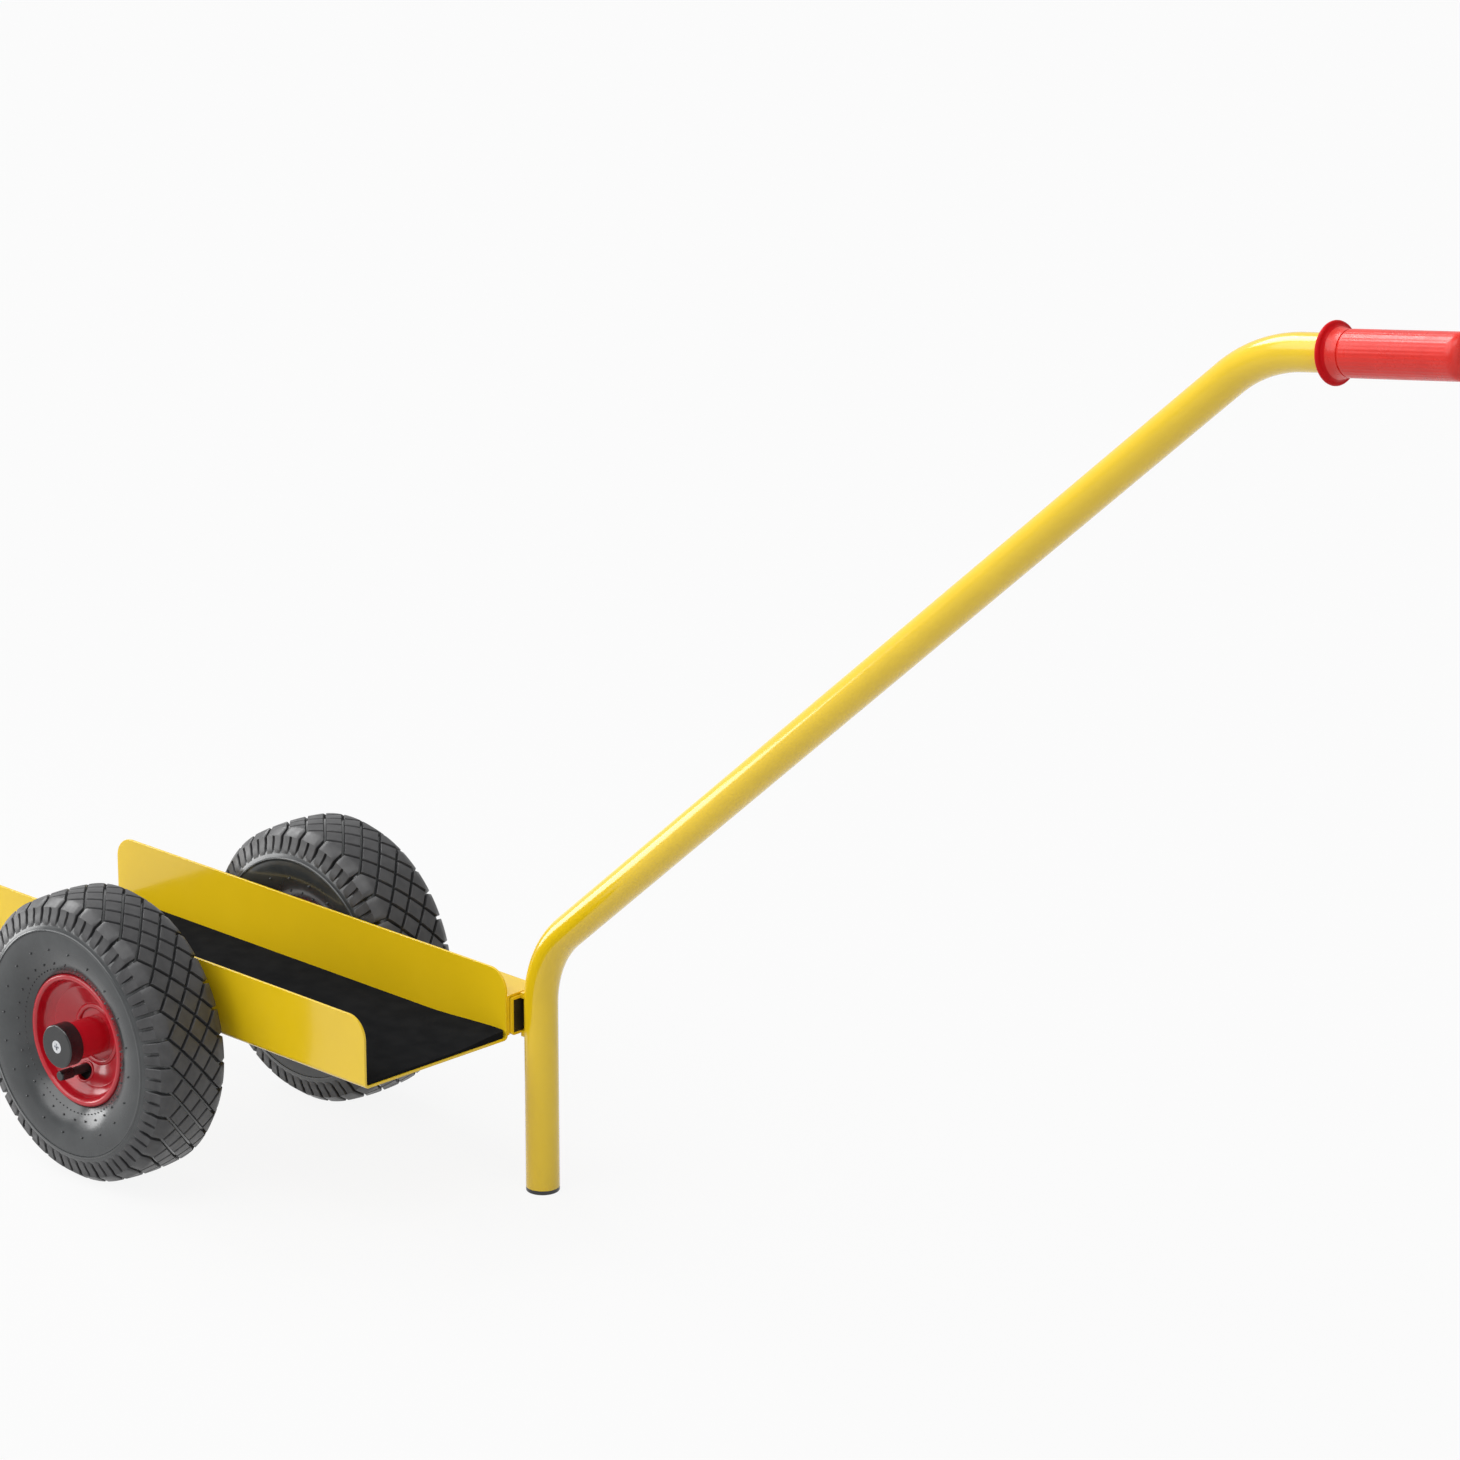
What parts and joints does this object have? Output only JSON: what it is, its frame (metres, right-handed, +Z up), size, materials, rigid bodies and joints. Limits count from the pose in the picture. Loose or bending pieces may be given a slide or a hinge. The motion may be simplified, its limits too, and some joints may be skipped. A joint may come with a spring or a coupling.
{
  "type": "panel dolly",
  "caption": "Panel dolly: folded sheet tray with an anti-slip mat on a cross axle with pneumatic wheels, and a bent tube handle with a floor leg that plugs into the tray's side.",
  "frame": {"origin": "on the floor under the middle of the dolly's overall length and width", "axes": "+Z up, +X along the tray towards the hand grip, +Y towards the handle's side"},
  "size_m": [1.525, 0.3732, 0.9434],
  "materials": {
    "yellow_paint": "glossy powder coat",
    "red_paint": "glossy enamel",
    "mat_rubber": "matt ribbed rubber",
    "tyre_rubber": "satin tyre rubber",
    "tube_rubber": "matt butyl rubber",
    "black_plastic": "moulded satin plastic",
    "grip_plastic": "soft PVC",
    "cage_plastic": "natural nylon",
    "bare_steel": "turned steel",
    "zinc_steel": "bright zinc plate"
  },
  "bodies": {
    "tray_frame": {"tray": "yellow_paint", "anti_slip_mat": "mat_rubber", "axle": "bare_steel", "axle_saddles": "yellow_paint", "axle_collars": "bare_steel", "handle_sleeve": "yellow_paint", "clamp_nut": "zinc_steel", "clamp_bolt": "zinc_steel", "right_hub_cap": "black_plastic", "right_cap_screw": "zinc_steel", "left_hub_cap": "black_plastic", "left_cap_screw": "zinc_steel"},
    "handle": {"handle_tube": "yellow_paint", "handle_tongue": "yellow_paint", "tongue_front_plug": "black_plastic", "tongue_rear_plug": "black_plastic", "leg_welds": "yellow_paint", "foot_cap": "black_plastic", "hand_grip": "grip_plastic"},
    "right_wheel": {"right_tyre": "tyre_rubber", "right_inner_tube": "tube_rubber", "right_rim_band": "red_paint", "right_outer_disc": "red_paint", "right_inner_disc": "red_paint", "right_hub_tube": "red_paint", "right_bearing_cages": "cage_plastic", "right_bearing_rollers": "bare_steel", "right_valve_stem": "tube_rubber", "right_valve_cap": "black_plastic"},
    "left_wheel": {"left_tyre": "tyre_rubber", "left_inner_tube": "tube_rubber", "left_rim_band": "red_paint", "left_outer_disc": "red_paint", "left_inner_disc": "red_paint", "left_hub_tube": "red_paint", "left_bearing_cages": "cage_plastic", "left_bearing_rollers": "bare_steel", "left_valve_stem": "tube_rubber", "left_valve_cap": "black_plastic"}
  },
  "joints": [
    {"name": "right_wheel_spin", "type": "hinge", "parent": "tray_frame", "child": "right_wheel", "pos_m": [-0.52652, -0.1353, 0.13], "axis": [0, 1, 0], "continuous": true},
    {"name": "left_wheel_spin", "type": "hinge", "parent": "tray_frame", "child": "left_wheel", "pos_m": [-0.52652, 0.1353, 0.13], "axis": [0, 1, 0], "continuous": true},
    {"name": "handle_slide", "type": "slide", "parent": "tray_frame", "child": "handle", "axis": [1, 0, 0], "range_m": [0, 0.142]}
  ]
}
